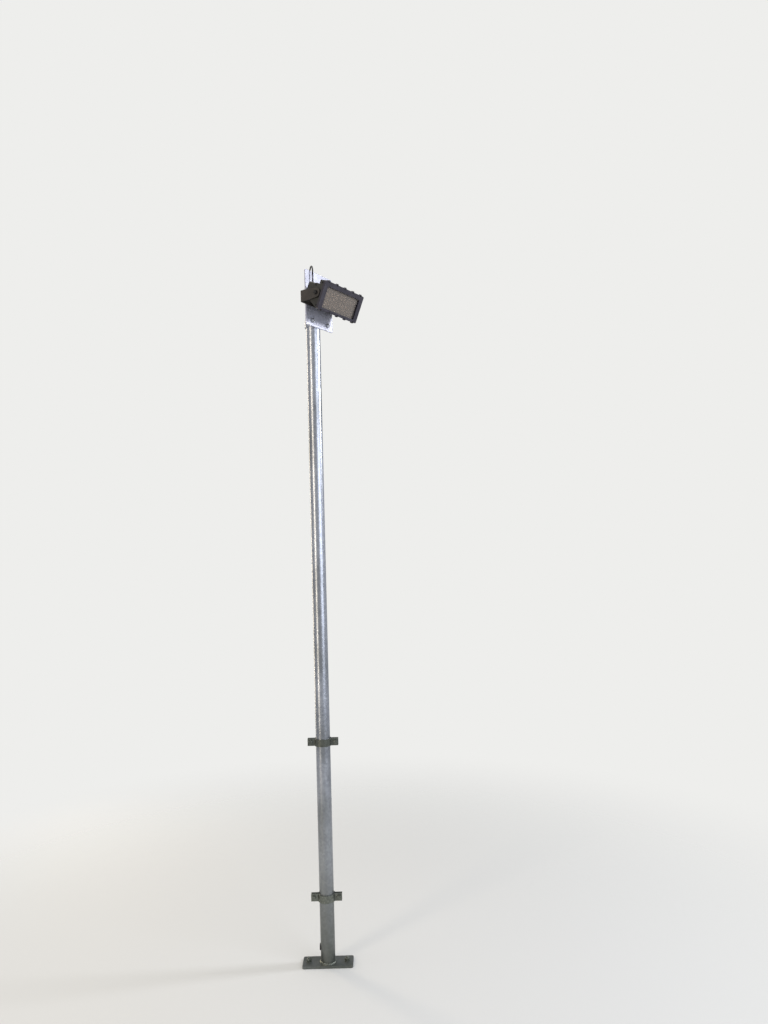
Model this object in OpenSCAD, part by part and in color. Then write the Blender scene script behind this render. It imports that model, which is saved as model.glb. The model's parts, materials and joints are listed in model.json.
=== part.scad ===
// Floodlight post: a galvanised steel tube on a bolted foot, with two bar clamps low on it
// and a finned floodlight tilting in a yoke on an upright plate at the top.
// X runs to the right and Y to the back, Z is up, and the origin is the centre of the foot
// plate's underside.

/* [Mast tube] */
// Outside diameter of the mast tube
tube_d = 60.3; // [48.3:0.1:76.1]
// Wall thickness of the mast tube
tube_wall = 3.6; // [2.5:0.1:6]
// Height of the head plate's centre above the foot's underside
head_height = 2789; // [1500:1:4000]
// Angle that the head is turned to, seen from above
head_turn = 58; // [0:1:90]

/* [Foot plate] */
// Width of the foot plate
foot_w = 210; // [190:1:300]
// Depth of the foot plate
foot_d = 80; // [74:1:160]
// Thickness of the foot plate
foot_t = 10; // [8:1:20]
// Corner radius of the foot plate
foot_corner_r = 8; // [2:1:20]
// Distance between the two anchor holes
anchor_spacing = 160; // [150:1:180]
// Diameter of the anchor holes
anchor_hole_d = 14; // [10:1:18]
// Leg of the fillet weld round the foot of the tube
weld_leg = 6; // [4:0.5:10]

/* [Cable entry] */
// Height of the cable entry above the foot's underside
entry_height = 70; // [50:1:140]
// Diameter of the hole in the tube for the grommet
entry_hole_d = 20; // [16:1:26]
// Bore of the grommet
entry_bore_d = 10; // [6:0.5:12]
// Width of the grommet's lip beyond its hole
entry_lip = 3.5; // [2:0.5:6]

/* [Bar clamps] */
// Height of the upper clamp
rail_clamp_height = 918; // [600:1:1200]
// Height of the lower clamp
low_clamp_height = 275; // [200:1:500]
// Width of the flat bar that the clamps are bent from
clamp_bar_w = 30; // [20:1:50]
// Thickness of the clamps' flat bar
clamp_bar_t = 5; // [3:0.5:8]
// Length of the clamp ears beyond the ring
clamp_ear = 29; // [24:1:40]
// Gap between the ears of the two halves
clamp_gap = 8; // [4:1:14]
// Diameter of the bolt holes in the clamps and saddles
clamp_hole_d = 11; // [9:0.5:13]
// Inside radius of the bend between ring and ear
clamp_bend_r = 6; // [3:0.5:10]

/* [Head plate] */
// Width of the head plate
plate_w = 185; // [176:1:240]
// Height of the head plate
plate_h = 233; // [200:1:300]
// Thickness of the head plate
plate_t = 6; // [4:0.5:10]
// Corner radius of the head plate
plate_corner_r = 4; // [1:0.5:12]
// Distance of the lower saddle's centre above the plate's lower edge
saddle_low = 22; // [20:1:40]
// Distance of the upper saddle's centre above the plate's centre
saddle_up = 45; // [40:1:60]
// Distance of the tube's top below the plate's upper edge
tube_below = 20; // [10:1:25]

/* [Yoke] */
// Width of the flat bar that the yoke is bent from
yoke_bar_w = 45; // [38:1:50]
// Width of the yoke's arms at the tilt axis
yoke_end_w = 38; // [26:1:38]
// Distance behind the tilt axis where the arms reach their full width
yoke_taper = 40; // [20:1:60]
// Thickness of the yoke
yoke_t = 4; // [3:0.5:6]
// Inside bend radius of the yoke
yoke_bend_r = 8; // [4:1:14]
// Distance of the yoke's middle below the head plate's centre
yoke_drop = 12; // [0:1:16]
// Distance of the tilt axis in front of the head plate
pivot_out = 84; // [83:1:120]
// Diameter of the tilt pivot bolts
pivot_d = 8; // [6:0.5:10]
// Play between the yoke's arms and the pivot bosses
yoke_play = 1; // [0.5:0.1:2]
// Diameter of the yoke's middle bolt hole
yoke_hole_d = 13; // [10:0.5:16]
// Diameter of the yoke's outer bolt holes
yoke_side_hole_d = 9; // [7:0.5:11]
// Distance between the yoke's outer bolt holes
yoke_side_spacing = 120; // [80:1:140]

/* [Lamp front] */
// Angle by which the lamp looks down
tilt = 24; // [10:0.5:60]
// How far the front frame reaches past the end caps
frame_over = 10; // [2:0.5:14]
// Height of the front frame
frame_h = 118; // [114:1:124]
// Height of the front frame's middle above the middle of its opening
frame_rise = 4.5; // [0:0.5:6]
// Thickness of the front frame's rim
frame_t = 10; // [8:0.5:12]
// How far the opening in the front frame stops short of each end of the finned body
window_end = 7; // [5:0.5:20]
// Height of the opening in the front frame
window_h = 87; // [70:1:92]
// Corner radius of the front frame
frame_corner_r = 7; // [3:0.5:12]
// Number of screw lugs on each long side of the frame
lug_count = 5; // [3:1:7]
// Distance between the screw lugs
lug_pitch = 57; // [30:1:60]
// Width of a screw lug
lug_w = 11; // [8:0.5:14]
// How far a screw lug stands out from the frame
lug_out = 4.5; // [3:0.5:8]
// Thickness of the glass
glass_t = 4; // [3:0.5:6]
// How far the glass lies in behind the frame's face
glass_in = 8; // [6:0.5:10]
// How far the glass reaches behind the frame on each side
glass_lap = 4; // [3:0.5:5]
// Thickness of the sealing ring behind the glass
gasket_t = 3; // [2:0.5:5]

/* [Lamp body] */
// Depth of the lamp from the glass to the tips of the fins
body_depth = 50; // [45:1:60]
// Distance of the tilt axis behind the glass
pivot_back = 27; // [25:1:34]
// Height of the tilt axis above the middle of the glass
pivot_up = 5; // [0:0.5:10]
// Length of the finned body between its end caps
body_l = 240; // [232:1:254]
// How far the body is set in from the frame's edge, above and below
body_inset = 2.5; // [1.5:0.5:4]
// How much the body's underside rises towards the back
body_rise = 20; // [5:1:30]
// Height of the fins' top above the tilt axis
fins_top = 38; // [34:0.5:44]
// Distance of the step on the body's top behind the tilt axis
body_step = 0; // [-4:0.5:10]
// Number of cooling fins
fin_count = 23; // [9:2:27]
// Thickness of a cooling fin
fin_t = 2.6; // [2:0.1:4]
// Thickness of the wall behind the lamp's chamber
chamber_wall = 5; // [4:0.5:10]
// Depth of the chamber behind the glass
chamber_depth = 12; // [11:0.5:15]
// Thickness of the end caps
cap_t = 8; // [5:0.5:12]
// Diameter of the pivot bosses
boss_d = 24; // [18:1:30]
// Length of the pivot bosses
boss_l = 3; // [1.5:0.5:6]

/* [Driver box] */
// Gap between the driver box and each end cap
driver_gap = 1; // [0.5:0.5:10]
// Height of the driver box
driver_h = 55; // [40:1:58]
// Depth of the driver box behind the fins, with its cover
driver_depth = 42; // [34:1:44]
// Corner radius of the driver box
driver_corner_r = 5; // [2:0.5:8]
// Thickness of the driver box's cover
driver_cover_t = 4; // [3:0.5:6]

/* [Light source] */
// Rows of lenses
lens_rows = 4; // [2:1:4]
// Distance between lenses
lens_pitch = 20; // [16:0.5:20]
// Diameter of a lens
lens_d = 13; // [8:0.5:14]
// Thickness of the circuit board
board_t = 2; // [1:0.5:3]

/* [Lead] */
// Diameter of the lamp's lead
lead_d = 6; // [5:0.5:6.5]
// Distance of the lead beside the head plate's middle
lead_side = 55; // [50:1:60]
// Across-flats size of the cable gland
gland_af = 17; // [14:1:20]
// Distance of the lead's way into the mast from the tube's axis
lead_in_off = 16; // [0:1:18]

/* [Hidden] */

$fn = 64;
// Clearance of a curved fit between pieces of the mast
fit = 0.15;
// Small overlap of cutting bodies
eps = 0.1;
// Corner radius of the window, and of what fits into the lamp's chamber
window_r = 3;
// Gap round the glass in its rebate, and round the pan in the chamber
glass_play = 0.5;
// How far the chamber's floor and ceiling stand in from the window's edges
chamber_in = 3;
// Depth to which a clamp's bends sink into the ring and the ears
bend_sink = 0.4;

tube_r = tube_d / 2;
plate_top = head_height + plate_h / 2;
tube_top = plate_top - tube_below;
clamp_r = tube_r + fit;
clamp_reach = clamp_r + clamp_bar_t + clamp_ear;
clamp_bolt_x = clamp_r + clamp_bar_t + clamp_ear * 0.6;
plate_front = tube_r + plate_t;
pivot_y = plate_front + pivot_out;
pivot_z = head_height - yoke_drop;

// Lamp coordinates: the tilt axis is the X axis, and the glass looks along -Y
glass_y = -pivot_back;
window_z = -pivot_up;
frame_y = glass_y - glass_in;
rim_back = frame_y + frame_t;
seat_y = glass_y + glass_t + gasket_t;
frame_z = window_z + frame_rise;
fins_y = glass_y + body_depth;
chamber_y = seat_y + chamber_depth;
core_y = chamber_y + chamber_wall;
body_top = frame_z + frame_h / 2 - body_inset;
body_bottom = frame_z - frame_h / 2 + body_inset;
cap_x = body_l / 2;
cap_out = cap_x + cap_t;
frame_l = 2 * (cap_out + frame_over);
boss_x = cap_out + boss_l;
arm_x = boss_x + yoke_play;
driver_l = body_l - 2 * driver_gap;
window_l = body_l - 2 * window_end;
driver_back = fins_y + driver_depth;
fin_pitch = (body_l - fin_t) / (fin_count - 1);

// The body's outline, seen from its end: a step leads down from the front to the fins
body_side = [[seat_y, body_bottom], [fins_y, body_bottom + body_rise], [fins_y, fins_top],
    [body_step, fins_top], [body_step, body_top], [seat_y, body_top]];
driver_z = fins_top - driver_h / 2;

// Convex outline with its corners rounded outwards by r
module rounded_polygon(points, r) {
    polygon(points);
    for (i = [0 : len(points) - 1]) {
        a = points[i];
        b = points[(i + 1) % len(points)];
        side = (b - a) / norm(b - a);
        out = [side[1], -side[0]] * r;
        translate(a) circle(r);
        polygon([a, a + out, b + out, b]);
    }
}

module rounded_rect(w, h, r) {
    x = w / 2 - r;
    y = h / 2 - r;
    rounded_polygon([[-x, -y], [x, -y], [x, y], [-x, y]], r);
}

// Carries an outline in Y and Z along X, from one end to the other
module along_x(from, to) {
    translate([from, 0, 0]) rotate([90, 0, 90]) linear_extrude(to - from) children();
}

// Carries an outline in X and Z along Y, from front to back
module along_y(from, to) {
    translate([0, to, 0]) rotate([90, 0, 0]) linear_extrude(to - from) children();
}

// Places the head on the mast, with the plate square to its own Y
module on_head() {
    rotate([0, 0, head_turn]) children();
}

// Places the lamp in its yoke, tilted down
module on_lamp() {
    on_head() translate([0, -pivot_y, pivot_z]) rotate([tilt, 0, 0]) children();
}

module foot_plate() {
    color("#8f938c") difference() {
        linear_extrude(foot_t) rounded_rect(foot_w, foot_d, foot_corner_r);
        for (s = [-1, 1]) translate([s * anchor_spacing / 2, 0, -eps])
            cylinder(d = anchor_hole_d, h = foot_t + 2 * eps);
    }
}

module foot_weld() {
    color("#9a9c9c") translate([0, 0, foot_t]) rotate_extrude()
        polygon([[tube_r, 0], [tube_r + weld_leg, 0], [tube_r, weld_leg]]);
}

module mast_tube() {
    color("#a9adb8") difference() {
        translate([0, 0, foot_t]) cylinder(r = tube_r, h = tube_top - foot_t);
        translate([0, 0, foot_t - eps])
            cylinder(r = tube_r - tube_wall, h = tube_top - foot_t + 2 * eps);
        translate([0, 0, entry_height]) rotate([0, -90, 0])
            cylinder(d = entry_hole_d, h = tube_r + eps);
    }
}

// Rubber grommet: a sleeve through the tube's wall with a lip laid round the outside
module cable_grommet() {
    lip_r = entry_hole_d / 2 + entry_lip;
    lip_t = 3;
    inside = 2;
    color("#1d1d1f") translate([0, 0, entry_height]) rotate([0, -90, 0]) difference() {
        union() {
            translate([0, 0, tube_r - tube_wall - inside])
                cylinder(d = entry_hole_d - 2 * fit, h = tube_wall + inside + lip_t);
            difference() {
                translate([0, 0, tube_r - lip_t]) cylinder(r = lip_r, h = 2 * lip_t);
                rotate([0, 90, 0]) translate([0, 0, -lip_r - eps])
                    cylinder(r = tube_r + fit, h = 2 * lip_r + 2 * eps);
            }
        }
        cylinder(d = entry_bore_d, h = tube_d);
    }
}

// One half of a clamp: flat bar bent round the tube, with an ear on each side
module clamp_half() {
    ear_y = clamp_gap / 2;
    outer = clamp_r + clamp_bar_t;
    // centre of the bend between ring and ear, a little sunk into both
    bend_y = ear_y + clamp_bar_t + clamp_bend_r - bend_sink;
    bend_x = sqrt(pow(outer + clamp_bend_r - bend_sink, 2) - pow(bend_y, 2));
    difference() {
        linear_extrude(clamp_bar_w, center = true) difference() {
            union() {
                circle(outer);
                translate([-clamp_reach, ear_y]) square([2 * clamp_reach, clamp_bar_t]);
                for (m = [0, 1]) mirror([m, 0]) difference() {
                    polygon([[0, ear_y], [bend_x, ear_y], [bend_x, bend_y]]);
                    translate([bend_x, bend_y]) circle(clamp_bend_r);
                }
            }
            circle(clamp_r);
            translate([-clamp_reach - eps, -outer - eps])
                square([2 * (clamp_reach + eps), outer + eps + ear_y]);
        }
        for (s = [-1, 1]) translate([s * clamp_bolt_x, ear_y - eps, 0]) rotate([-90, 0, 0])
            cylinder(d = clamp_hole_d, h = clamp_bar_t + 2 * eps);
    }
}

module clamp_at(height, side) {
    color("#7d8078") translate([0, 0, height]) rotate([0, 0, side > 0 ? 0 : 180]) clamp_half();
}

module low_clamp_front() {
    clamp_at(low_clamp_height, -1);
}

module low_clamp_back() {
    clamp_at(low_clamp_height, 1);
}

module rail_clamp_front() {
    clamp_at(rail_clamp_height, -1);
}

module rail_clamp_back() {
    clamp_at(rail_clamp_height, 1);
}

// The mast cap's disc, the boss on it and the plug below it, measured from the tube's top
cap_disc = 4;
cap_boss = 10;
cap_plug = 22;
cap_edge = 2;
plug_taper = 0.8;

// Plastic plug in the tube's top, with a boss that the lead goes into
module mast_cap() {
    color("#202123") on_head() translate([0, 0, tube_top]) {
        bore_r = tube_r - tube_wall - fit;
        rotate_extrude() polygon([[0, -cap_plug], [bore_r - plug_taper, -cap_plug],
            [bore_r, -cap_plug / 2], [bore_r, 0], [tube_r, 0], [tube_r, cap_disc - cap_edge],
            [tube_r - cap_edge, cap_disc], [0, cap_disc]]);
        translate([-lead_in_off, 0, cap_disc - eps])
            cylinder(r1 = lead_d, r2 = lead_d * 0.8, h = cap_boss - cap_disc + eps);
    }
}

module head_plate() {
    color("#c9c9d6") on_head() difference() {
        translate([0, 0, head_height]) along_y(-plate_front, -tube_r)
            rounded_rect(plate_w, plate_h, plate_corner_r);
        for (s = [-1, 1], z = [saddle_upper_z, saddle_lower_z])
            translate([s * saddle_bolt_x, -plate_front - eps, z]) rotate([-90, 0, 0])
                cylinder(d = clamp_hole_d, h = plate_t + 2 * eps);
        yoke_holes();
    }
}

// Bolt holes that the yoke and the plate share
module yoke_holes() {
    for (s = [-1, 1])
        translate([s * yoke_side_spacing / 2, -plate_front - yoke_t - eps, pivot_z])
            rotate([-90, 0, 0]) cylinder(d = yoke_side_hole_d, h = plate_t + yoke_t + 2 * eps);
}

saddle_upper_z = head_height + saddle_up;
saddle_lower_z = head_height - plate_h / 2 + saddle_low;
saddle_r = tube_r + fit;
saddle_bolt_x = saddle_r + clamp_bar_t + clamp_ear * 0.6;

// Part of a ring of flat bar, between two angles
module bent_bar(inner, from, to) {
    rotate([0, 0, from]) rotate_extrude(angle = to - from)
        translate([inner, -clamp_bar_w / 2]) square([clamp_bar_t, clamp_bar_w]);
}

// Flat bar bent over the back of the tube, with its ears flat on the plate
module saddle() {
    outer = saddle_r + clamp_bar_t;
    bend_y = clamp_bar_t + clamp_bend_r - tube_r;
    bend_x = outer + clamp_bend_r;
    bent_bar(saddle_r, 0, 180);
    for (s = [0, 1]) mirror([s, 0, 0]) {
        translate([saddle_r, bend_y, -clamp_bar_w / 2])
            cube([clamp_bar_t, -bend_y, clamp_bar_w]);
        translate([bend_x, bend_y, 0]) bent_bar(clamp_bend_r, 180, 270);
        difference() {
            translate([bend_x, -tube_r, -clamp_bar_w / 2])
                cube([clamp_ear - clamp_bend_r, clamp_bar_t, clamp_bar_w]);
            translate([saddle_bolt_x, -tube_r - eps, 0]) rotate([-90, 0, 0])
                cylinder(d = clamp_hole_d, h = clamp_bar_t + 2 * eps);
        }
    }
}

module head_saddle_upper() {
    color("#a9adb8") on_head() translate([0, 0, saddle_upper_z]) saddle();
}

module head_saddle_lower() {
    color("#a9adb8") on_head() translate([0, 0, saddle_lower_z]) saddle();
}

// Outline of the yoke in plan, closed at the plate and open towards the lamp
module yoke_plan(half, back, r, front) {
    rounded_polygon([[-half + r, front], [half - r, front], [half - r, back - r],
        [-half + r, back - r]], r);
}

// The yoke seen from its end: narrower and round at the tilt axis, full width at the plate
module arm_outline() {
    end = yoke_end_w / 2;
    full = yoke_bar_w / 2;
    circle(end);
    polygon([[0, -end], [yoke_taper, -full], [pivot_out + 1, -full], [pivot_out + 1, full],
        [yoke_taper, full], [0, end]]);
}

module yoke() {
    front = -pivot_y - yoke_bar_w / 2 - yoke_bend_r - yoke_t;
    bent = yoke_bend_r + yoke_t;
    color("#34322f") on_head() difference() {
        intersection() {
            translate([0, 0, pivot_z - yoke_bar_w / 2]) linear_extrude(yoke_bar_w)
                difference() {
                    yoke_plan(arm_x + yoke_t, -plate_front, bent, front);
                    yoke_plan(arm_x, -plate_front - yoke_t, yoke_bend_r, front - bent);
                }
            translate([0, 0, pivot_z]) along_x(-arm_x - yoke_t - 1, arm_x + yoke_t + 1)
                translate([-pivot_y, 0]) arm_outline();
        }
        yoke_holes();
        translate([0, -plate_front - yoke_t - eps, pivot_z]) rotate([-90, 0, 0])
            cylinder(d = yoke_hole_d, h = yoke_t + 2 * eps);
        translate([-arm_x - yoke_t - 1, -pivot_y, pivot_z]) rotate([0, 90, 0])
            cylinder(d = pivot_d + 0.1, h = 2 * (arm_x + yoke_t + 1));
    }
}

module frame_outline() {
    rounded_rect(frame_l, frame_h, frame_corner_r);
    for (i = [0 : lug_count - 1], s = [-1, 1]) {
        x = (i - (lug_count - 1) / 2) * lug_pitch;
        translate([x, s * (frame_h / 2 + lug_out - lug_w / 2)]) circle(d = lug_w);
        translate([x - lug_w / 2, s > 0 ? frame_h / 2 - 4 : -frame_h / 2 - lug_out + lug_w / 2])
            square([lug_w, lug_out - lug_w / 2 + 4]);
    }
}

// Front frame: a cast rim with screw lugs and a skirt behind it that meets the body,
// open at the window and rebated for the glass
module front_frame() {
    color("#2f2e30") on_lamp() difference() {
        translate([0, 0, frame_z]) {
            along_y(frame_y, rim_back) frame_outline();
            along_y(rim_back - 1, seat_y)
                rounded_rect(2 * cap_out, frame_h - 2 * body_inset, window_r);
        }
        translate([0, 0, window_z]) {
            along_y(frame_y - eps, seat_y + eps) rounded_rect(window_l, window_h, window_r);
            along_y(glass_y - fit, seat_y + eps) glass_outline(glass_play);
        }
    }
}

// Outline of the glass, let out by the play that its rebate gives it
module glass_outline(play) {
    rounded_rect(window_l + 2 * (glass_lap + play), window_h + 2 * (glass_lap + play),
        window_r + play);
}

module front_glass() {
    color("#b9b3a5", 0.5) on_lamp() translate([0, 0, window_z])
        along_y(glass_y, glass_y + glass_t) glass_outline(0);
}

// Sealing ring between the glass and the body
module glass_gasket() {
    color("#161617") on_lamp() translate([0, 0, window_z])
        along_y(glass_y + glass_t, seat_y) difference() {
            glass_outline(0);
            rounded_rect(window_l, window_h, window_r);
        }
}

// Outline of the chamber behind the glass, drawn in by a gap
module chamber_outline(gap) {
    rounded_rect(window_l - 2 * gap, window_h - 2 * (chamber_in + gap), window_r - gap);
}

// Cast body: a chamber behind the glass with upright cooling fins down its back
module lamp_body() {
    color("#3a3937") on_lamp() {
        difference() {
            intersection() {
                along_x(-cap_x, cap_x) polygon(body_side);
                translate([-cap_x, seat_y, body_bottom]) cube([body_l, core_y - seat_y,
                    body_top - body_bottom]);
            }
            translate([0, 0, window_z]) along_y(seat_y - eps, chamber_y) chamber_outline(0);
        }
        for (i = [0 : fin_count - 1]) {
            x = -cap_x + i * fin_pitch;
            intersection() {
                along_x(x, x + fin_t) polygon(body_side);
                translate([x, core_y - 1, body_bottom])
                    cube([fin_t, fins_y - core_y + 1, body_top - body_bottom]);
            }
        }
    }
}

// The end caps' corner radius, and how far they stand over the body's outline
cap_r = 4;
cap_over = 1;

module cap_outline() {
    front = seat_y + cap_r;
    back = fins_y + 2 * cap_over - cap_r;
    low = body_bottom - cap_over + cap_r;
    step = body_step + cap_over - cap_r;
    rounded_polygon([[front, low], [back, low + body_rise], [back, fins_top - cap_r],
        [front, fins_top - cap_r]], cap_r);
    rounded_polygon([[front, 0], [step, 0], [step, body_top - cap_r],
        [front, body_top - cap_r]], cap_r);
}

// End cap over the fins' ends, with the boss that the pivot bolt screws into
module end_cap(side) {
    color("#363534") on_lamp() mirror([side < 0 ? 1 : 0, 0, 0]) difference() {
        union() {
            along_x(cap_x, cap_out) cap_outline();
            along_x(cap_out - eps, boss_x) circle(d = boss_d);
        }
        along_x(cap_x - eps, boss_x + eps) circle(d = pivot_d);
    }
}

module end_cap_near() {
    end_cap(-1);
}

module end_cap_far() {
    end_cap(1);
}

bolt_af = 13;
bolt_head = 5.5;
washer_d = 18;
washer_t = 1.6;

// Pivot bolt: shank in the end cap's boss, with washer and head outside the yoke's arm
module pivot_bolt(side) {
    out = arm_x + yoke_t + 0.2;
    color("#8c8d8f") on_lamp() mirror([side < 0 ? 1 : 0, 0, 0]) {
        along_x(cap_x + 1, out + eps) circle(d = pivot_d);
        along_x(out, out + washer_t) circle(d = washer_d);
        along_x(out + washer_t - eps, out + washer_t + bolt_head)
            circle(d = bolt_af / cos(30), $fn = 6);
    }
}

module pivot_bolt_near() {
    pivot_bolt(-1);
}

module pivot_bolt_far() {
    pivot_bolt(1);
}

board_y = chamber_y - board_t;
reflector_t = 1;
sheet_t = 1.2;
sheet_in = 3;
lens_h = 6;
lens_edge = 2;
// As many columns of lenses as the sheet holds
lens_cols = floor((window_l - 2 * sheet_in - lens_d) / lens_pitch) + 1;

// Bright pan round the circuit board, its edge turned forward to the gasket
module reflector() {
    color("#d5d5d0") on_lamp() translate([0, 0, window_z]) difference() {
        along_y(seat_y + glass_play, board_y) chamber_outline(glass_play);
        along_y(seat_y - eps, board_y + eps) chamber_outline(glass_play + reflector_t);
    }
}

module led_board() {
    color("#e8e8e2") on_lamp() translate([0, 0, window_z]) along_y(board_y, chamber_y)
        chamber_outline(glass_play);
}

// Moulded lens sheet over the light sources, with its domes in rows
module lens_sheet() {
    color("#dedbcf") on_lamp() translate([0, 0, window_z]) {
        along_y(board_y - sheet_t, board_y)
            rounded_rect(window_l - 2 * sheet_in, window_h - 2 * (chamber_in + sheet_in), 2);
        for (i = [0 : lens_cols - 1], j = [0 : lens_rows - 1])
            translate([(i - (lens_cols - 1) / 2) * lens_pitch, board_y - eps,
                (j - (lens_rows - 1) / 2) * lens_pitch])
                rotate([90, 0, 0]) rotate_extrude()
                    polygon([[0, 0], [lens_d / 2, 0], [lens_d / 2, lens_edge],
                        [lens_d / 2 - lens_edge, lens_h - 1], [lens_d / 4, lens_h], [0, lens_h]]);
    }
}

// Sealed box on the back of the fins, holding the driver
module driver_box() {
    color("#302f2e") on_lamp() translate([0, 0, driver_z])
        along_y(fins_y, driver_back - driver_cover_t)
            rounded_rect(driver_l, driver_h, driver_corner_r);
}

module driver_cover() {
    color("#2b2a2a") on_lamp() translate([0, 0, driver_z])
        along_y(driver_back - driver_cover_t, driver_back)
            rounded_rect(driver_l - 2, driver_h - 2, driver_corner_r);
}

gland_l = 11;
gland_flats = 4;
gland_nut = 8;
// Distance of the gland below the driver box's top edge
gland_below = 5;
gland_z = fins_top - gland_af / 2 - gland_below;

// Cable gland in the driver box's cover
module cable_gland() {
    r = gland_af / 2;
    color("#1b1b1c") on_lamp() translate([-lead_side, driver_back, gland_z])
        rotate([-90, 0, 0]) {
            cylinder(r = r / cos(30), h = gland_flats, $fn = 6);
            rotate_extrude() polygon([[0, gland_flats - 1], [r - 1, gland_flats - 1],
                [r - 1, gland_nut], [lead_d * 0.75, gland_l], [0, gland_l]]);
        }
}

// The lead's route in the head's own coordinates, as points with headings. It leaves the
// gland, bends upright in front of the plate and loops over it into the mast's cap.
lead_bend = 25;
loop_top = 30;
gland_mouth = [-lead_side, driver_back + gland_l, gland_z];
lead_start = [gland_mouth[0], gland_mouth[1] * cos(tilt) - gland_mouth[2] * sin(tilt) - pivot_y,
    pivot_z + gland_mouth[1] * sin(tilt) + gland_mouth[2] * cos(tilt)];
upright = lead_start + lead_bend * [0, 1 - sin(tilt), cos(tilt)];
lead_end = [-lead_in_off, 0, tube_top + cap_boss];
across = [lead_end[0] - upright[0], lead_end[1] - upright[1], 0];
loop_r = norm(across) / 2;
over = across / norm(across);
loop_z = plate_top + loop_top - lead_d / 2 - loop_r;
loop_mid = [upright[0], upright[1], loop_z] + across / 2;
bend_steps = 4;
loop_steps = 14;
lead_way = concat(
    [for (i = [0 : bend_steps]) let (a = tilt + (90 - tilt) * i / bend_steps)
        [lead_start + lead_bend * [0, sin(a) - sin(tilt), cos(tilt) - cos(a)],
            [0, cos(a), sin(a)]]],
    [for (i = [0 : loop_steps]) let (a = 180 * i / loop_steps)
        [loop_mid + loop_r * (sin(a) * [0, 0, 1] - cos(a) * over),
            cos(a) * [0, 0, 1] + sin(a) * over]],
    [[lead_end, [0, 0, -1]]]);
lead_sides = 8;

// A round tube carried along points with headings; side is never along a heading
module swept_tube(way, r, sides, side) {
    n = len(way);
    ring = [for (w = way) let (
        u = cross(w[1], side) / norm(cross(w[1], side)),
        v = cross(w[1], u))
        for (k = [0 : sides - 1])
            w[0] + r * (cos(360 * k / sides) * u + sin(360 * k / sides) * v)];
    walls = [for (i = [0 : n - 2], k = [0 : sides - 1])
        [i * sides + k, i * sides + (k + 1) % sides, (i + 1) * sides + (k + 1) % sides,
            (i + 1) * sides + k]];
    first = [for (k = [sides - 1 : -1 : 0]) k];
    last = [for (k = [0 : sides - 1]) (n - 1) * sides + k];
    polyhedron(ring, concat(walls, [first, last]));
}

module lamp_lead() {
    color("#161617") on_head() swept_tube(lead_way, lead_d / 2, lead_sides,
        [over[1], -over[0], 0]);
}

foot_plate();
foot_weld();
mast_tube();
cable_grommet();
low_clamp_front();
low_clamp_back();
rail_clamp_front();
rail_clamp_back();
mast_cap();
head_plate();
head_saddle_upper();
head_saddle_lower();
yoke();
lamp_body();
end_cap_near();
end_cap_far();
front_frame();
front_glass();
glass_gasket();
reflector();
led_board();
lens_sheet();
driver_box();
driver_cover();
cable_gland();
pivot_bolt_near();
pivot_bolt_far();
lamp_lead();
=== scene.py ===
# Floodlight post: camera, light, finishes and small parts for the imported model
import json
import math
import bmesh
import bpy
import numpy as np
from mathutils import Matrix, Vector


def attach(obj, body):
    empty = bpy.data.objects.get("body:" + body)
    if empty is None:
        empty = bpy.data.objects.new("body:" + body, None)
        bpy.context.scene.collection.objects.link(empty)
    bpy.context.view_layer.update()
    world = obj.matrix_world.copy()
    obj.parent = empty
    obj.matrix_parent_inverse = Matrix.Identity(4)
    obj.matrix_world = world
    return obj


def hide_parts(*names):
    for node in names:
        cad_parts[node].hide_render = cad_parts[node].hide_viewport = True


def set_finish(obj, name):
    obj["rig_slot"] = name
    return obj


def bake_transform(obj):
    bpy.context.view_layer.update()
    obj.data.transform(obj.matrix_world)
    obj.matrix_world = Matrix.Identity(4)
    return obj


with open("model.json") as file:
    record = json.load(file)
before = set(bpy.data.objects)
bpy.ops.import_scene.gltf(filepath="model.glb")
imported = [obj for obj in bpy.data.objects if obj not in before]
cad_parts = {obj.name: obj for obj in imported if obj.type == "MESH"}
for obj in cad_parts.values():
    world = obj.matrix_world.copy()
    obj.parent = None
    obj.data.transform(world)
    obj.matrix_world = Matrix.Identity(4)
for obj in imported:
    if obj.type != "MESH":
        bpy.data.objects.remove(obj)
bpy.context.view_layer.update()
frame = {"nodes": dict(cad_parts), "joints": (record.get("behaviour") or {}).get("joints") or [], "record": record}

mm = 0.001
joint = frame["joints"][0]
# The head's own directions: along the plate, square to it towards the back, and up
headAlong = np.array(joint["axis"])
headBack = np.array([-headAlong[1], headAlong[0], 0.0])
headUp = np.array([0.0, 0.0, 1.0])
pivot = np.array(joint["pos_m"])

post = {
    "tubeRadius": 30.15,
    "plateFront": 36.15,  # from the tube's axis to the plate's face
    "plateThick": 6.0,
    "barThick": 5.0,
    "boltSide": 52.7,  # clamp and saddle bolts, to each side
    "clampHeights": (275.0, 918.0),
    "clampGap": 8.0,
    "saddleHeights": (2694.5, 2834.0),
    "footThick": 10.0,
    "anchorSide": 80.0,
}
lamp = {
    "tilt": 24.0,
    "frameFace": -35.0,  # in front of the tilt axis
    "frameMiddle": -0.5,
    "lugPitch": 57.0,
    "lugHeight": 58.0,
    "capFace": 128.0,
    "driverBack": 65.0,
    "driverMiddle": 10.5,
    "driverHalf": (119.0, 27.5),
    "lensPitch": 20.0,
    "windowMiddle": -5.0,
}
yoke = {"thick": 4.0, "side": 60.0}


def headPoint(along, back, up):
    return headAlong * along * mm + headBack * back * mm + headUp * up * mm


tiltAngle = math.radians(lamp["tilt"])
lampBack = headBack * math.cos(tiltAngle) + headUp * math.sin(tiltAngle)
lampUp = headUp * math.cos(tiltAngle) - headBack * math.sin(tiltAngle)


def lampPoint(along, back, up):
    return pivot + headAlong * along * mm + lampBack * back * mm + lampUp * up * mm


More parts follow.
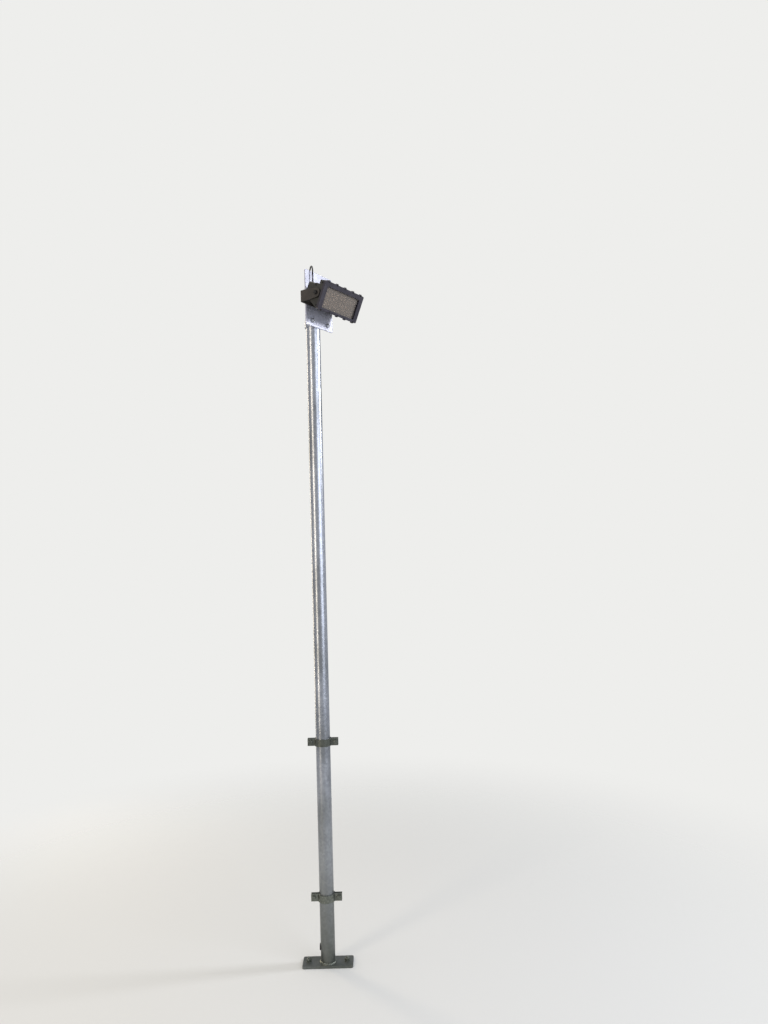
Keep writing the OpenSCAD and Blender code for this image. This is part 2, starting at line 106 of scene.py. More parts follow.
# Camera at the photograph's place: a short lens held a little low, tipped and rolled
view = {"place": (0.2837, -3.279, 1.759), "pitch": 2.11, "roll": -1.56, "focal": 769.0,
        "imageWidth": 768.0, "sensor": 36.0}


def makeCamera():
    data = bpy.data.cameras.new("camera")
    data.sensor_fit = "HORIZONTAL"
    data.sensor_width = view["sensor"]
    data.lens = view["sensor"] * view["focal"] / view["imageWidth"]
    data.clip_end = 60
    camera = bpy.data.objects.new("camera", data)
    bpy.context.scene.collection.objects.link(camera)
    pitch = math.radians(view["pitch"])
    roll = math.radians(view["roll"])
    ahead = Vector((0, math.cos(pitch), math.sin(pitch)))
    level = Vector((1, 0, 0))
    upright = Vector((0, -math.sin(pitch), math.cos(pitch)))
    right = level * math.cos(roll) + upright * math.sin(roll)
    above = upright * math.cos(roll) - level * math.sin(roll)
    turn = Matrix((right, above, -ahead)).transposed().to_4x4()
    camera.matrix_world = Matrix.Translation(view["place"]) @ turn
    bpy.context.scene.camera = camera


makeCamera()
print("camera placed")


# Quads of a grid of points (rows, columns, 3); columns run round and close on themselves
def gridFaces(rows, columns, first):
    row, column = np.meshgrid(np.arange(rows - 1), np.arange(columns), indexing="ij")
    after = (column + 1) % columns
    quads = np.stack([row * columns + column, row * columns + after,
                      (row + 1) * columns + after, (row + 1) * columns + column], -1)
    return quads.reshape(-1, 4) + first


# One piece from several closed grids; doubles at the poles are merged and faces turned out
def makePiece(name, grids, body, slot, sharp=25):
    first = 0
    faces = []
    for grid in grids:
        faces.append(gridFaces(grid.shape[0], grid.shape[1], first))
        first += grid.shape[0] * grid.shape[1]
    points = np.concatenate([grid.reshape(-1, 3) for grid in grids])
    mesh = bpy.data.meshes.new(name)
    mesh.from_pydata(points.tolist(), [], np.concatenate(faces).tolist())
    work = bmesh.new()
    work.from_mesh(mesh)
    bmesh.ops.remove_doubles(work, verts=work.verts, dist=2e-6)
    bmesh.ops.dissolve_degenerate(work, edges=work.edges, dist=1e-7)
    bmesh.ops.recalc_face_normals(work, faces=work.faces)
    work.to_mesh(mesh)
    work.free()
    mesh.polygons.foreach_set("use_smooth", np.ones(len(mesh.polygons), dtype=bool))
    mesh.set_sharp_from_angle(angle=math.radians(sharp))
    piece = bpy.data.objects.new(name, mesh)
    bpy.context.scene.collection.objects.link(piece)
    if body:
        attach(piece, body)
    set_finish(piece, slot)
    return piece


# Rings in millimetres (radius and level at each angle) set along an outward direction
def setRings(radius, level, angle, origin, outward, along):
    outward = outward / np.linalg.norm(outward)
    side = np.cross(outward, along)
    return (origin + mm * (radius * np.cos(angle))[..., None] * along
            + mm * (radius * np.sin(angle))[..., None] * side
            + mm * level[..., None] * outward)


# Turned shape: a radius and a level per ring, the same all the way round
def turned(profile, columns):
    angle = np.arange(columns) * 2 * math.pi / columns
    profile = np.array(profile, float)
    even = np.ones(columns)
    return profile[:, :1] * even, profile[:, 1:] * even, angle


# Distance from a hexagon's middle to its side, at an angle
def hexSide(flats, angle):
    turn = (angle + math.pi / 6) % (math.pi / 3) - math.pi / 6
    return flats / 2 / np.cos(turn)


# Hexagon with corners cut by a 30 degree cone above, and below too on a nut
def hexagon(flats, low, high, nut, columns=48):
    angle = np.arange(columns) * 2 * math.pi / columns
    edge = hexSide(flats, angle)
    face = np.full(columns, flats * 0.475)
    cut = (edge - face) * math.tan(math.pi / 6)
    nothing = np.zeros(columns)
    radius = [nothing, face, edge, edge, face, nothing]
    level = [nothing + low, nothing + low, low + cut * nut, high - cut, nothing + high,
             nothing + high]
    return np.stack(radius), np.stack(level), angle


def washer(outer, low, thick):
    return turned([(0, low), (outer - 0.4, low), (outer, low + 0.35),
                   (outer, low + thick - 0.35), (outer - 0.4, low + thick),
                   (0, low + thick)], 40)


# Screw thread: the radius follows a triangle wave that climbs one pitch a turn
def thread(diameter, pitch, low, high, columns=24):
    angle = np.arange(columns) * 2 * math.pi / columns
    level = np.arange(low, high - pitch * 0.3, pitch / 4)
    wave = (level[:, None] / pitch - angle / (2 * math.pi)) % 1
    radius = diameter / 2 - 0.55 * pitch * (1 - np.abs(2 * wave - 1))
    ends = [(0, low), (diameter * 0.4, low)], [(diameter * 0.38, high), (0, high)]
    (start, startLevel), (stop, stopLevel) = (turned(end, columns)[:2] for end in ends)
    return (np.concatenate([start, radius, stop]),
            np.concatenate([startLevel, level[:, None] * np.ones(columns), stopLevel]), angle)


# Screw head with a rounded edge and a six-sided socket sunk in its face
def socketHead(diameter, height, flats, depth, columns=36):
    angle = np.arange(columns) * 2 * math.pi / columns
    even = np.ones(columns)
    socket = hexSide(flats, angle)
    half = diameter / 2
    arc = np.linspace(0, math.pi / 2, 5)
    soft = height * 0.5
    radius = [0 * even, half * even] + [(half - soft + soft * math.cos(a)) * even for a in arc]
    level = [0 * even, 0 * even] + [(height - soft + soft * math.sin(a)) * even for a in arc]
    radius += [socket, socket, 0 * even]
    level += [height * even, (height - depth) * even, (height - depth) * even]
    return np.stack(radius), np.stack(level), angle


# The lead's facts come before its shape
lead = {
    "diameter": 6.0,
    "side": 55.0,
    "glandMouth": (76.0, 24.5),  # back from and above the tilt axis, in the lamp
    "bend": 25.0,
    "loopTop": 2932.5,
    "capBoss": 2895.5,
    "blendFrom": (-28.0, 2856.0),  # behind the lead: the blend leans, so it stays round
    "capSide": 16.0,
    "bendSteps": 6,
    "uprightSteps": 5,
    "loopSteps": 20,
}


# Out of the gland, bent upright in front of the plate, then half a circle over its top
def leadRoute():
    back, up = lead["glandMouth"]
    start = lampPoint(-lead["side"], back, up)
    turn = np.linspace(tiltAngle, math.pi / 2, lead["bendSteps"] + 1)[:, None]
    bend = lead["bend"] * mm
    first = start + bend * (headBack * (np.sin(turn) - math.sin(tiltAngle))
                            + headUp * (math.cos(tiltAngle) - np.cos(turn)))
    end = headPoint(-lead["capSide"], 0, lead["capBoss"])
    across = end - first[-1]
    across[2] = 0
    radius = np.linalg.norm(across) / 2
    middle = first[-1] + across / 2
    middle[2] = lead["loopTop"] * mm - radius
    rise = np.linspace(0, 1, lead["uprightSteps"] + 1)[1:-1, None]
    straight = first[-1] + rise * (middle - across / 2 - first[-1])
    angle = np.linspace(0, math.pi, lead["loopSteps"] + 1)[:, None]
    loop = middle + headUp * radius * np.sin(angle) - across / 2 * np.cos(angle)
    return np.concatenate([first, straight, loop, end[None]])


# Smooth line through the points: each stretch is a cubic set by its neighbours
def smoothLine(points, steps):
    padded = np.concatenate([[2 * points[0] - points[1]], points,
                             [2 * points[-1] - points[-2]]])
    a, b, c, d = padded[:-3], padded[1:-2], padded[2:-1], padded[3:]
    t = (np.arange(steps) / steps)[None, :, None]
    a, b, c, d = (p[:, None] for p in (a, b, c, d))
    line = b + 0.5 * t * (c - a + t * (2 * a - 5 * b + 4 * c - d + t * (3 * (b - c) + d - a)))
    return np.concatenate([line.reshape(-1, 3), points[-1:]])


# Tube along a line: rings square to it, all set by one fixed direction, which keeps them
# from twisting; closed at both ends
def tubeGrid(line, radius, columns):
    heading = np.gradient(line, axis=0)
    heading /= np.linalg.norm(heading, axis=1)[:, None]
    side = np.cross(heading, headAlong + 0.6 * headBack)
    side /= np.linalg.norm(side, axis=1)[:, None]
    other = np.cross(heading, side)
    angle = np.arange(columns) * 2 * math.pi / columns
    ring = (np.cos(angle)[:, None] * side[:, None] + np.sin(angle)[:, None] * other[:, None])
    body = line[:, None] + np.broadcast_to(radius, len(line))[:, None, None] * ring
    first = np.repeat(line[:1, None], columns, axis=1)
    last = np.repeat(line[-1:, None], columns, axis=1)
    return np.concatenate([first, body, last])


route = leadRoute()
leadLine = smoothLine(route, 4)
leadCable = makePiece("leadCable", [tubeGrid(leadLine, lead["diameter"] / 2 * mm, 20)], None,
                      "black_rubber")
# Bend protector: a ribbed sleeve that thins along the lead's first stretch
boot = {"length": 20.0, "thickEnd": 4.7, "thinEnd": 3.45, "rib": 2.5, "ribDepth": 0.35,
        "ribbed": (0.1, 0.93)}  # the ribs keep clear of both ends
run = np.concatenate([[0], np.cumsum(np.linalg.norm(np.diff(leadLine, axis=0), axis=1))])
place = np.linspace(0, boot["length"] * mm, 57)
bootLine = np.stack([np.interp(place, run, leadLine[:, axis]) for axis in range(3)], -1)
share = place / place[-1]
ribbed = (share > boot["ribbed"][0]) * (share < boot["ribbed"][1])
grooves = (np.sin(2 * math.pi * place / (boot["rib"] * mm)) > 0.25) * ribbed
bootRadius = (boot["thickEnd"] + (boot["thinEnd"] - boot["thickEnd"]) * share
              - boot["ribDepth"] * grooves) * mm
leadBoot = makePiece("leadBoot", [tubeGrid(bootLine, bootRadius, 28)], None, "black_rubber", 50)
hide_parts("lamp_lead")
for piece in (leadCable, leadBoot):
    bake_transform(piece)


# Fillet weld round the tube's foot: a bead of overlapping ripples on a bulging triangle
weld = {"leg": 6.0, "bulge": 0.9, "ripple": 2.6, "depth": 0.28, "lag": 0.9,
        "wander": (0.25, 0.2), "columns": 288}


def makeWeld():
    angle = np.arange(weld["columns"]) * 2 * math.pi / weld["columns"]
    tube = post["tubeRadius"]
    turns = round(2 * math.pi * tube / weld["ripple"])
    share = np.linspace(0, 1, 9)[:, None]
    arch = np.sin(math.pi * share)
    lag = weld["lag"] * arch  # the ripples bow back in the middle of the bead
    ripple = np.abs(np.sin(turns * angle / 2 - lag)) * weld["depth"]
    slow, quick = weld["wander"]
    wander = slow * np.sin(5 * angle + 1) + quick * np.sin(11 * angle)
    push = (weld["bulge"] * arch + ripple + wander * arch) / math.sqrt(2)
    radius = tube + weld["leg"] * (1 - share) + push
    level = post["footThick"] + weld["leg"] * share + push
    inside = np.ones(weld["columns"])
    radius = np.concatenate([[inside * (tube - 0.2)], radius, [inside * (tube - 0.2)],
                             [inside * (tube - 0.2)]])
    level = np.concatenate([[inside * (post["footThick"] - 0.1)], level,
                            [inside * (post["footThick"] + weld["leg"])],
                            [inside * (post["footThick"] - 0.1)]])
    grid = setRings(radius, level, angle, np.zeros(3), headUp, np.array([1.0, 0, 0]))
    bead = makePiece("weldBead", [grid], "mast", "weathered_zinc", 60)
    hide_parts("foot_weld")
    return bead


weldBead = makeWeld()

# Bolt sizes: washers by radius, the rest by diameter, width over flats or length
anchorSize = {"hole": 12.0, "pitch": 1.75, "washer": 12.0, "washerThick": 2.5, "flats": 19.0,
              "nut": 10.0, "stand": 19.0}
clampSize = {"diameter": 10.0, "pitch": 1.5, "washer": 10.0, "washerThick": 2.0,
             "flats": 16.0, "head": 6.4, "nut": 8.0, "past": 5.0, "flatHead": 19.0,
             "socket": 6.0, "socketDepth": 1.4}
yokeSize = {"diameter": 8.0, "pitch": 1.25, "washer": 8.5, "washerThick": 1.6, "flats": 13.0,
            "head": 5.3, "nut": 6.5, "past": 4.0}


# Bolt through a stack of sheets: head and washer in front, or a low flat head where the
# lead passes, and washer, nut and thread behind
def boltGrids(size, front, outward, along, grip, spin, flat=False):
    along = along / np.linalg.norm(along)
    side = np.cross(outward, along)
    along = along * math.cos(spin) + side * math.sin(spin)
    low = size["washerThick"]
    behind = front - outward * grip * mm
    head = [(washer(size["washer"], 0, low), front, outward),
            (hexagon(size["flats"], low, low + size["head"], 0), front, outward)]
    if flat:
        head = [(socketHead(size["flatHead"], low, size["socket"], size["socketDepth"]),
                 front, outward)]
    parts = head + [
        (washer(size["washer"], 0, low), behind, -outward),
        (hexagon(size["flats"], low, low + size["nut"], 1), behind, -outward),
        (thread(size["diameter"], size["pitch"], low + size["nut"] - 1,
                low + size["nut"] + size["past"]), behind, -outward),
    ]
    return [setRings(*rings, spot, way, along) for rings, spot, way in parts]


def makeBolts():
    right = np.array([1.0, 0, 0])
    forward = np.array([0, -1.0, 0])
    made = {}
    grids = []
    for index, side in enumerate((-1, 1)):
        spot = np.array([side * post["anchorSide"], 0, post["footThick"]]) * mm
        turn = right * math.cos(0.3 + index) + forward * math.sin(0.3 + index)
        top = anchorSize["washerThick"] + anchorSize["nut"]
        parts = [washer(anchorSize["washer"], 0, anchorSize["washerThick"]),
                 hexagon(anchorSize["flats"], anchorSize["washerThick"], top, 1),
                 thread(anchorSize["hole"], anchorSize["pitch"], top - 1, anchorSize["stand"])]
        grids += [setRings(*rings, spot, headUp, turn) for rings in parts]
    made["anchorBolts"] = makePiece("anchorBolts", grids, "mast", "weathered_zinc")
    grip = post["clampGap"] + 2 * post["barThick"]
    for name, height in zip(("lowClampBolts", "railClampBolts"), post["clampHeights"]):
        grids = []
        for side in (-1, 1):
            front = np.array([side * post["boltSide"], -grip / 2, height]) * mm
            grids += boltGrids(clampSize, front, forward, right, grip, 0.4 + 0.7 * side)
        made[name] = makePiece(name, grids, "mast", "weathered_zinc")
    grids = []
    grip = post["plateThick"] + post["barThick"]
    for height in post["saddleHeights"]:
        for side in (-1, 1):
            front = headPoint(side * post["boltSide"], -post["plateFront"], height)
            upper = height > pivot[2] / mm
            grids += boltGrids(clampSize, front, -headBack, headAlong, grip,
                               0.2 + side * height, upper)
    made["saddleBolts"] = makePiece("saddleBolts", grids, "mast", "stainless")
    grids = []
    for side in (-1, 1):
        front = headPoint(side * yoke["side"], -post["plateFront"] - yoke["thick"],
                          pivot[2] / mm)
        grids += boltGrids(yokeSize, front, -headBack, headAlong,
                           yoke["thick"] + post["plateThick"], 0.5 * side)
    made["yokeBolts"] = makePiece("yokeBolts", grids, "mast", "stainless")
    return made


bolts = makeBolts()
print("weld and bolts made")

screws = {
    "frame": {"head": 8.0, "height": 2.6, "socket": 3.0, "depth": 1.7},
    "cap": {"head": 7.0, "height": 2.4, "socket": 3.0, "depth": 1.5,
            "spots": ((-14, -47), (-14, 47), (17, 30), (17, -30))},
    "cover": {"head": 6.5, "height": 2.2, "socket": 2.5, "depth": 1.4, "inset": 7.0},
}


def screwGrids(size, spots, outward, along):
    rings = socketHead(size["head"], size["height"], size["socket"], size["depth"])
    return [setRings(*rings, spot, outward, along) for spot in spots]


def makeScrews():
    size = screws["frame"]
    spots = [lampPoint(step * lamp["lugPitch"], lamp["frameFace"],
                       lamp["frameMiddle"] + side * lamp["lugHeight"])
             for step in range(-2, 3) for side in (-1, 1)]
    made = {"frameScrews": makePiece("frameScrews", screwGrids(size, spots, -lampBack, lampUp),
                                     "lamp", "stainless")}
    size = screws["cap"]
    grids = []
    for side in (-1, 1):
        spots = [lampPoint(side * lamp["capFace"], back, up) for back, up in size["spots"]]
        grids += screwGrids(size, spots, headAlong * side, lampUp)
    made["capScrews"] = makePiece("capScrews", grids, "lamp", "stainless")
    size = screws["cover"]
    wide, high = (half - size["inset"] for half in lamp["driverHalf"])
    spots = [lampPoint(step * wide, lamp["driverBack"], lamp["driverMiddle"] + side * high)
             for step in (-1, 0, 1) for side in (-1, 1)]
    made["coverScrews"] = makePiece("coverScrews", screwGrids(size, spots, lampBack, lampUp),
                                    "lamp", "stainless")
    return made


lampScrews = makeScrews()
print("screws made")


# An sRGB hex colour as linear light
def hexColour(code):
    value = np.array([int(code[place:place + 2], 16) for place in (1, 3, 5)]) / 255
    linear = np.where(value <= 0.04045, value / 12.92, ((value + 0.055) / 1.055) ** 2.4)
    return (*linear.tolist(), 1.0)


# Adds a node: settings go to its sockets or, by other names, to the node itself
def addNode(tree, kind, settings, links=None):
    node = tree.nodes.new(kind)
    for name, value in settings.items():
        if isinstance(name, int) or name in node.inputs:
            node.inputs[name].default_value = value
        else:
            setattr(node, name, value)
    for name, source in (links or {}).items():
        tree.links.new(source, node.inputs[name])
    return node


def newMaterial(name, colour, metallic, roughness, extra=None):
    material = bpy.data.materials.new(name)
    material.use_nodes = True
    tree = material.node_tree
    shader = tree.nodes["Principled BSDF"]
    values = {"Base Color": hexColour(colour), "Metallic": metallic, "Roughness": roughness}
    values.update(extra or {})
    for socket, value in values.items():
        shader.inputs[socket].default_value = value
    where = addNode(tree, "ShaderNodeTexCoord", {}).outputs["Object"]
    return material, tree, shader, where


# Noise grains of a size in millimetres, stretched along Z by a factor where rain runs down
def grains(tree, where, size, detail, stretch=1.0):
    scaled = addNode(tree, "ShaderNodeMapping", {"Scale": (1, 1, 1 / stretch)},
                     {"Vector": where}).outputs[0]
    return addNode(tree, "ShaderNodeTexNoise", {"Scale": 1 / (size * mm), "Detail": detail},
                   {"Vector": scaled}).outputs[0]


def spread(tree, value, low, high, toLow=0.0, toHigh=1.0):
    return addNode(tree, "ShaderNodeMapRange", {"interpolation_type": "SMOOTHSTEP",
                   "From Min": low, "From Max": high, "To Min": toLow, "To Max": toHigh},
                   {"Value": value}).outputs[0]


def blendColour(tree, factor, first, second):
    settings = {"data_type": "RGBA"}
    links = {0: factor}
    for socket, colour in ((6, first), (7, second)):
        if isinstance(colour, str):
            settings[socket] = hexColour(colour)
        else:
            links[socket] = colour
    return addNode(tree, "ShaderNodeMix", settings, links).outputs[2]


# A Math node; what works on one number alone leaves the second out
def combine(tree, operation, first, second=0.0):
    settings = {"operation": operation}
    links = {}
    for socket, value in ((0, first), (1, second)):
        if isinstance(value, (int, float)):
            settings[socket] = value
        else:
            links[socket] = value
    return addNode(tree, "ShaderNodeMath", settings, links).outputs[0]


# Bump over edges that are rounded off a little, as cast, rolled and dipped edges are
def relief(tree, shader, height, depth, strength=1.0, edge=0.6):
    soft = addNode(tree, "ShaderNodeBevel", {"samples": 4, "Radius": edge * mm})
    bump = addNode(tree, "ShaderNodeBump", {"Distance": depth * mm, "Strength": strength},
                   {"Height": height, "Normal": soft.outputs[0]})
    tree.links.new(bump.outputs[0], shader.inputs["Normal"])


# How far a surface faces up, from 0 to 1: dust settles there
def upFacing(tree, low, high):
    normal = addNode(tree, "ShaderNodeTexCoord", {}).outputs["Normal"]
    height = addNode(tree, "ShaderNodeSeparateXYZ", {}, {0: normal}).outputs[2]
    return spread(tree, height, low, high)


# Hot-dip galvanised steel: zinc crystals (spangle) a centimetre across, each a shade and
# a gloss of its own, darker and duller lower down: painted shade where less light reaches the foot, together with
# weathering where hands and rain reach
def galvanisedSteel(name, pale, dark, dullAndShade, spangle, dullShadeFrom, dullShadeTo, metallic=0.85):
    material, tree, shader, where = newMaterial(name, pale, metallic, 0.42)
    warp = addNode(tree, "ShaderNodeTexNoise", {"Scale": 1 / (22 * mm), "Detail": 2.0},
                   {"Vector": where}).outputs["Color"]
    bent = addNode(tree, "ShaderNodeMix", {"data_type": "VECTOR", 0: 0.012},
                   {4: where, 5: warp}).outputs[1]
    cells = addNode(tree, "ShaderNodeTexVoronoi", {"Scale": 1 / (spangle * mm)},
                    {"Vector": bent})
    shade = addNode(tree, "ShaderNodeSeparateColor", {}, {0: cells.outputs["Color"]})
    crystal = blendColour(tree, shade.outputs[0], dark, pale)
    cloud = spread(tree, grains(tree, where, 90, 4, 3.0), 0.42, 0.66)
    clouded = blendColour(tree, combine(tree, "MULTIPLY", cloud, 0.45), crystal, dullAndShade)
    height = addNode(tree, "ShaderNodeSeparateXYZ", {}, {0: where}).outputs[2]
    wander = combine(tree, "MULTIPLY", grains(tree, where, 60, 3, 4.0), 0.25)
    level = combine(tree, "ADD", height, wander)
    # painted shade and weathering together: darker and duller towards the bottom
    wornAndShaded = spread(tree, level, dullShadeTo * mm, dullShadeFrom * mm, 0.85, 0.0)
    colour = blendColour(tree, wornAndShaded, clouded, dullAndShade)
    tree.links.new(colour, shader.inputs["Base Color"])
    gloss = spread(tree, shade.outputs[1], 0.0, 1.0, 0.27, 0.34)
    rough = combine(tree, "ADD", gloss, combine(tree, "MULTIPLY", wornAndShaded, 0.16))
    tree.links.new(rough, shader.inputs["Roughness"])
    surface = combine(tree, "ADD", grains(tree, where, 8, 2),
                      combine(tree, "MULTIPLY", grains(tree, where, 1.6, 3), 0.25))
    relief(tree, shader, surface, 0.03, 0.15)
    return material


# Powder-coated metal: a fine orange-peel skin, faded patches and dust on what faces up
def powderCoat(name, colour, faded, dust, roughness, peel):
    material, tree, shader, where = newMaterial(name, colour, 0.0, roughness,
                                                {"Specular IOR Level": 0.45})
    patch = spread(tree, grains(tree, where, 45, 4), 0.38, 0.68)
    aged = blendColour(tree, patch, colour, faded)
    speckle = spread(tree, grains(tree, where, 2.2, 3), 0.56, 0.75, 0.0, 0.3)
    dusty = combine(tree, "MAXIMUM", combine(tree, "MULTIPLY", upFacing(tree, 0.25, 0.9), 0.6),
                    speckle)
    tree.links.new(blendColour(tree, dusty, aged, dust), shader.inputs["Base Color"])
    rough = spread(tree, patch, 0.0, 1.0, roughness - 0.05, roughness + 0.09)
    tree.links.new(combine(tree, "ADD", rough, combine(tree, "MULTIPLY", dusty, 0.25)),
                   shader.inputs["Roughness"])
    relief(tree, shader, grains(tree, where, peel, 2), 0.06, 0.6)
    return material


# Zinc-plated or blackened fasteners: turned and rolled metal, dulled in patches
def fastenerSteel(name, pale, dark, roughness):
    material, tree, shader, where = newMaterial(name, pale, 1.0, roughness)
    stain = spread(tree, grains(tree, where, 5, 4), 0.4, 0.68)
    tree.links.new(blendColour(tree, stain, pale, dark), shader.inputs["Base Color"])
    tree.links.new(spread(tree, stain, 0, 1, roughness, roughness + 0.2),
                   shader.inputs["Roughness"])
    relief(tree, shader, grains(tree, where, 0.7, 2), 0.03, 0.4)
    return material


# Moulded plastic or rubber: a matt skin with a faint grain and greyer weathered patches
def mouldedSkin(name, colour, weathered, roughness, grain):
    material, tree, shader, where = newMaterial(name, colour, 0.0, roughness)
    patch = spread(tree, grains(tree, where, 14, 4), 0.4, 0.7, 0.0, 0.7)
    tree.links.new(blendColour(tree, patch, colour, weathered), shader.inputs["Base Color"])
    tree.links.new(spread(tree, patch, 0, 0.7, roughness, roughness + 0.12),
                   shader.inputs["Roughness"])
    relief(tree, shader, grains(tree, where, grain, 2), 0.05, 0.5)
    return material


# The lamp's own coordinates: Object coordinates turned back by the head and the tilt
def lampCoordinates(tree, where):
    turn = Matrix((headAlong, lampBack, lampUp))
    shift = -(turn @ Vector(pivot))
    return addNode(tree, "ShaderNodeMapping", {"Rotation": turn.to_euler(), "Location": shift},
                   {"Vector": where}).outputs[0]


# Toughened glass under a beige film of dust, with rain marks and specks: the lens grid
# behind it shows as no more than a fine grain
def toughenedGlass():
    material, tree, shader, where = newMaterial("toughenedGlass", "#c3b8ad", 0.0, 0.05,
                                                {"IOR": 1.5, "Transmission Weight": 0.8})
    runs = spread(tree, grains(tree, where, 7, 4, 5.0), 0.45, 0.7, 0.0, 0.5)
    specks = spread(tree, grains(tree, where, 1.5, 2), 0.62, 0.72, 0.0, 0.5)
    film = combine(tree, "MAXIMUM", runs, specks)
    tree.links.new(spread(tree, film, 0, 1, 0.04, 0.14), shader.inputs["Roughness"])
    tree.links.new(spread(tree, film, 0, 1, 0.72, 0.55), shader.inputs["Transmission Weight"])
    return material


# Bright rolled aluminium sheet: a mirror blurred along its rolling lines
def rolledAluminium():
    material, tree, shader, where = newMaterial("rolledAluminium", "#d9d8d2", 1.0, 0.25)
    local = lampCoordinates(tree, where)
    lines = addNode(tree, "ShaderNodeMapping", {"Scale": (0.02, 1, 1)},
                    {"Vector": local}).outputs[0]
    streak = addNode(tree, "ShaderNodeTexNoise", {"Scale": 1 / (0.6 * mm), "Detail": 2.0},
                     {"Vector": lines}).outputs[0]
    tree.links.new(spread(tree, streak, 0.3, 0.7, 0.18, 0.34), shader.inputs["Roughness"])
    relief(tree, shader, streak, 0.02, 0.4)
    return material


# White solder lacquer on the board: satin, with faint copper lines under it
def solderLacquer():
    material, tree, shader, where = newMaterial("solderLacquer", "#dfddd2", 0.0, 0.38)
    local = lampCoordinates(tree, where)
    tracks = addNode(tree, "ShaderNodeTexBrick", {"Scale": 1 / (20 * mm), "Mortar Size": 0.04,
                     "Color1": hexColour("#e2e0d6"), "Color2": hexColour("#d8d6ca"),
                     "Mortar": hexColour("#c9c4b2")}, {"Vector": local})
    tree.links.new(tracks.outputs["Color"], shader.inputs["Base Color"])
    relief(tree, shader, grains(tree, where, 0.8, 2), 0.02, 0.4)
    return material


# Moulded acrylic lenses: a warm clear plastic over yellow light sources, one to each dome,
# with a ring of painted shade at the dome's foot
def mouldedAcrylic():
    material, tree, shader, where = newMaterial("mouldedAcrylic", "#dbd3ca", 0.0, 0.08,
                                                {"IOR": 1.49, "Coat Weight": 0.4})
    local = lampCoordinates(tree, where)
    parts = addNode(tree, "ShaderNodeSeparateXYZ", {}, {0: local})
    pitch = lamp["lensPitch"] * mm
    distances = []
    for axis, shift in ((0, 0.5), (2, 0.0)):
        offset = -lamp["windowMiddle"] * mm if axis == 2 else 0.0
        moved = combine(tree, "ADD", parts.outputs[axis], offset)
        step = combine(tree, "ADD", combine(tree, "DIVIDE", moved, pitch), shift)
        beside = combine(tree, "SUBTRACT", combine(tree, "FRACT", step), 0.5)
        distances.append(combine(tree, "POWER", combine(tree, "ABSOLUTE", beside), 2.0))
    radius = combine(tree, "SQRT", combine(tree, "ADD", *distances))
    core = spread(tree, radius, 0.08, 0.16, 0.6, 0.0)
    # painted shade: a darker ring where each dome meets the flat sheet
    footShade = combine(tree, "SUBTRACT", spread(tree, radius, 0.3, 0.38),
                   spread(tree, radius, 0.4, 0.5))
    sheetWithShade = blendColour(tree, footShade, "#dbd3ca", "#b3aa9f")
    tree.links.new(blendColour(tree, core, sheetWithShade, "#cbb68a"), shader.inputs["Base Color"])
    return material


finishes = {
    # the tube's third colour is the dull grey-green of the painted shade and weathering, strongest at 50 mm and
    # gone by 1150 mm
    "galvanised_steel": galvanisedSteel("hotDipGalvanisedTube", "#d2d6de", "#bcc0ca",
                                        "#575a50", 9.0, 1150, 50),
    "bright_zinc": galvanisedSteel("hotDipGalvanisedPlate", "#e6e6f2", "#d8d9e8",
                                   "#c2c3d2", 12.0, -500, -900, 0.35),
    "weathered_zinc": galvanisedSteel("weatheredGalvanisedBar", "#7d8179", "#656962",
                                      "#50524b", 7.0, -500, -900, 0.6),
    "yoke_paint": powderCoat("powderCoatedSteelBar", "#3d3834", "#4a443f", "#6b645a", 0.46,
                             0.9),
    "body_paint": powderCoat("powderCoatedCastAluminium", "#353532", "#3f3e3b", "#605c53",
                             0.5, 1.2),
    "frame_paint": powderCoat("powderCoatedCastFrame", "#2f2b34", "#393540", "#575256",
                              0.44, 1.2),
    "clear_glass": toughenedGlass(),
    "bright_aluminium": rolledAluminium(),
    "board_lacquer": solderLacquer(),
    "lens_plastic": mouldedAcrylic(),
    "black_plastic": mouldedSkin("mouldedPolyamide", "#1d1e20", "#34353a", 0.42, 1.0),
    "black_rubber": mouldedSkin("rubberCableSheath", "#17171a", "#2d2d30", 0.55, 1.4),
    "stainless": fastenerSteel("blackenedStainlessFastener", "#4a4a4c", "#343331", 0.42),
}
platedZinc = fastenerSteel("zincPlatedBolt", "#cdcfd4", "#adaeb0", 0.26)


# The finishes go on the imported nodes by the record's slots, then on the pieces made here
for part in frame["record"]["subparts"]:
    for materialSlot in frame["nodes"][part["node"]].material_slots:
        materialSlot.material = finishes[part["material_slot"]]
plated = [bolts["saddleBolts"], bolts["yokeBolts"]]
dressed = [leadCable, leadBoot, weldBead, *bolts.values(), *lampScrews.values()]
for piece in dressed:
    finish = platedZinc if piece in plated else finishes[piece["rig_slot"]]
    piece.data.materials.append(finish)
print("materials set")


# Plain pale floor that fades out to the background's own colour
def makeFloor():
    size = 9.0
    mesh = bpy.data.meshes.new("floor")
    mesh.from_pydata([(-size, -size, 0), (size, -size, 0), (size, size, 0), (-size, size, 0)],
                     [], [(0, 1, 2, 3)])
    floor = bpy.data.objects.new("floor", mesh)
    bpy.context.scene.collection.objects.link(floor)
    material, tree, shader, where = newMaterial("paleFloor", "#dcdcda", 0.0, 0.8)
    apart = addNode(tree, "ShaderNodeVectorMath", {"operation": "LENGTH"},
                    {0: where}).outputs["Value"]
    fade = spread(tree, apart, 0.7, 3.2)
    clear = addNode(tree, "ShaderNodeBsdfTransparent", {})
    mixed = addNode(tree, "ShaderNodeMixShader", {},
                    {0: fade, 1: shader.outputs[0], 2: clear.outputs[0]})
    tree.links.new(mixed.outputs[0], tree.nodes["Material Output"].inputs[0])
    mesh.materials.append(material)


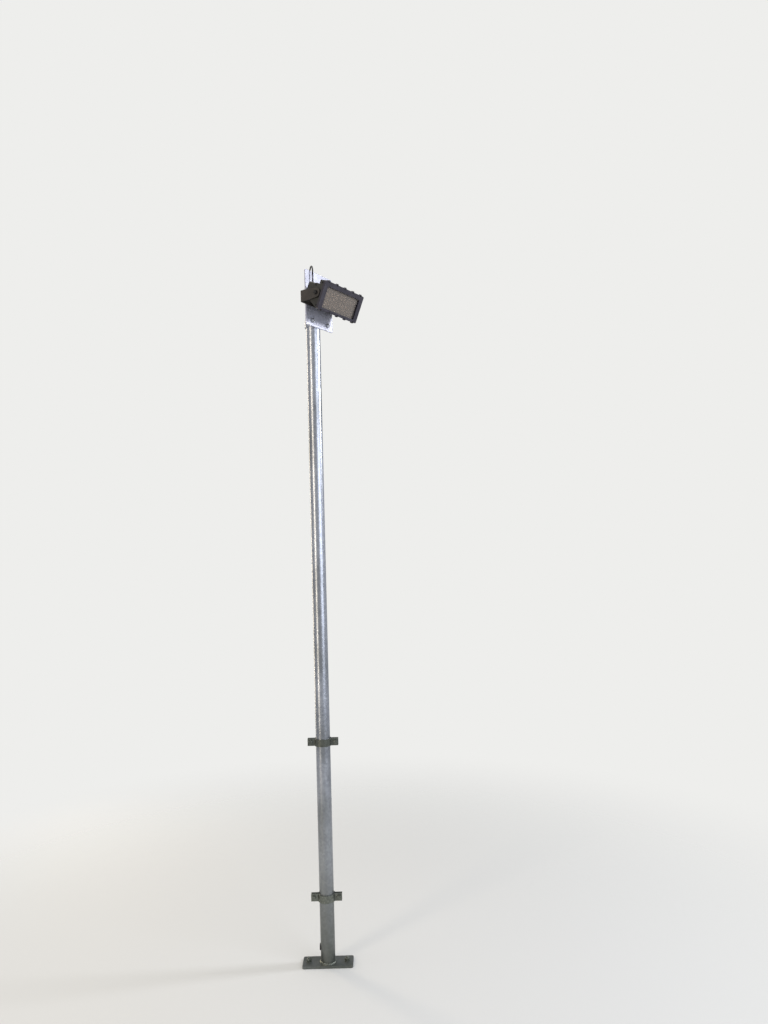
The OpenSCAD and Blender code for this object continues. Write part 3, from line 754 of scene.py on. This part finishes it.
lights = {
    "key": {"place": (3.9, 0.46, 3.4), "aim": (0, 0, 2.4), "size": (0.6, 0.9), "power": 72,
            "colour": "#f6f8ff"},
    "softbox": {"place": (3.0, -2.5, 2.3), "aim": (0, 0, 1.6), "size": (2.8, 3.2),
                "power": 58, "colour": "#eef3ff"},
    "leftStrip": {"place": (-2.1, -2.2, 2.0), "aim": (0, 0, 1.7), "size": (0.6, 3.4),
                  "power": 30, "colour": "#fff0d8"},
    "rimStrip": {"place": (-2.1, 2.1, 2.0), "aim": (0, 0, 1.7), "size": (0.6, 3.4),
                 "power": 28, "colour": "#ffedd0"},
    "overhead": {"place": (-0.4, 0.2, 5.6), "aim": (0, 0, 0), "size": (3.0, 3.0),
                 "power": 110, "colour": "#fffdf8"},
}


def makeLight():
    for name, light in lights.items():
        data = bpy.data.lights.new(name, "AREA")
        data.shape = "RECTANGLE"
        data.size, data.size_y = light["size"]
        data.energy = light["power"]
        data.color = hexColour(light["colour"])[:3]
        lampObject = bpy.data.objects.new(name, data)
        bpy.context.scene.collection.objects.link(lampObject)
        away = Vector(light["aim"]) - Vector(light["place"])
        turn = away.to_track_quat("-Z", "Y").to_matrix().to_4x4()
        lampObject.matrix_world = Matrix.Translation(light["place"]) @ turn
        lampObject.visible_camera = False
    world = bpy.data.worlds.new("studio")
    bpy.context.scene.world = world
    world.use_nodes = True
    tree = world.node_tree
    tree.nodes.clear()
    ray = addNode(tree, "ShaderNodeLightPath", {})
    light = addNode(tree, "ShaderNodeBackground", {"Color": hexColour("#e9edf3"),
                                                   "Strength": 0.4})
    backdrop = addNode(tree, "ShaderNodeBackground", {"Color": hexColour("#eeeeec"),
                                                      "Strength": 1.0})
    mixed = addNode(tree, "ShaderNodeMixShader", {},
                    {0: ray.outputs["Is Camera Ray"], 1: light.outputs[0],
                     2: backdrop.outputs[0]})
    output = addNode(tree, "ShaderNodeOutputWorld", {}, {0: mixed.outputs[0]})
    output.is_active_output = True


makeFloor()
makeLight()
bpy.context.scene.view_settings.view_transform = "Standard"
print("floor and light set")
